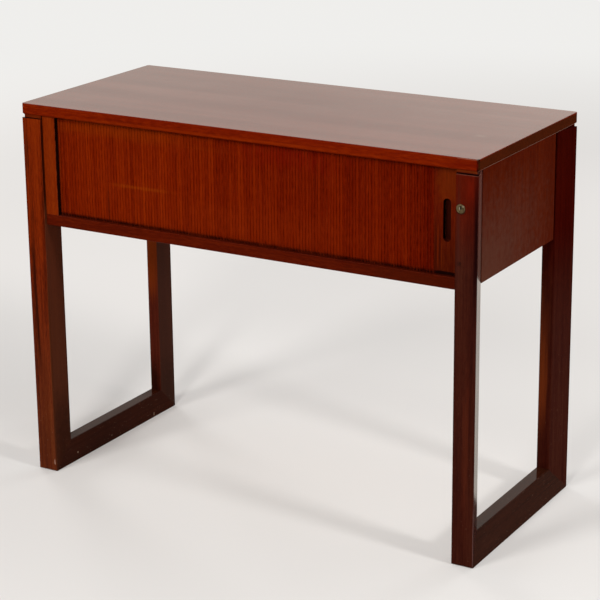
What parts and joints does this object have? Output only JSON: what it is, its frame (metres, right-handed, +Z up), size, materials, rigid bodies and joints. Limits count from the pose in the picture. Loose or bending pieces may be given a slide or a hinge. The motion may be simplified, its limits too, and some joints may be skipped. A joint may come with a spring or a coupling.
{
  "type": "sewing table",
  "caption": "Narrow rectangular table on two mitred sledge frames, with a shallow cabinet under the top closed by a sliding tambour front with a finger slot and a cam lock.",
  "frame": {"origin": "middle of the footprint of the top and the two frames, at floor level", "axes": "+X along the length to the lock side, +Y from the tambour front to the back, +Z up"},
  "size_m": [0.9, 0.396, 0.7],
  "materials": {
    "mahogany": "glossy varnish",
    "tambour_wood": "satin varnish",
    "inner_wood": "oiled",
    "canvas": "plain weave",
    "lock_metal": "dull plated",
    "brass": "satin"
  },
  "bodies": {
    "cabinet": {"table_top": "mahogany", "left_front_leg": "mahogany", "left_rear_leg": "mahogany", "left_floor_rail": "mahogany", "right_front_leg": "mahogany", "right_rear_leg": "mahogany", "right_floor_rail": "mahogany", "left_side_panel": "mahogany", "right_side_panel": "mahogany", "back_panel": "mahogany", "front_rail": "mahogany", "left_stile": "mahogany", "tambour_slats": "tambour_wood", "cabinet_floor": "inner_wood", "inner_left_wall": "inner_wood", "inner_back_wall": "inner_wood", "mitre_splines": "inner_wood", "leg_dowels": "inner_wood", "floor_dowels": "inner_wood", "rail_dowels": "inner_wood", "stile_pins": "inner_wood", "back_dowels": "inner_wood", "top_dowels": "inner_wood", "tambour_canvas": "canvas", "lock_cylinder": "lock_metal"},
    "door": {"lead_rail": "mahogany", "strike_plate": "brass", "strike_screws": "brass"},
    "lock": {"lock_plug": "lock_metal", "lock_cam": "lock_metal", "cam_screw": "brass"}
  },
  "joints": [
    {"name": "door_slide", "type": "slide", "parent": "cabinet", "child": "door", "axis": [-1, 0, 0], "range_m": [0, 0.74], "deforming": ["tambour_slats", "tambour_canvas"]},
    {"name": "lock_turn", "type": "hinge", "parent": "cabinet", "child": "lock", "pos_m": [0.4195, -0.1885, 0.616], "axis": [0, -1, 0], "range_deg": [0, 90]}
  ]
}
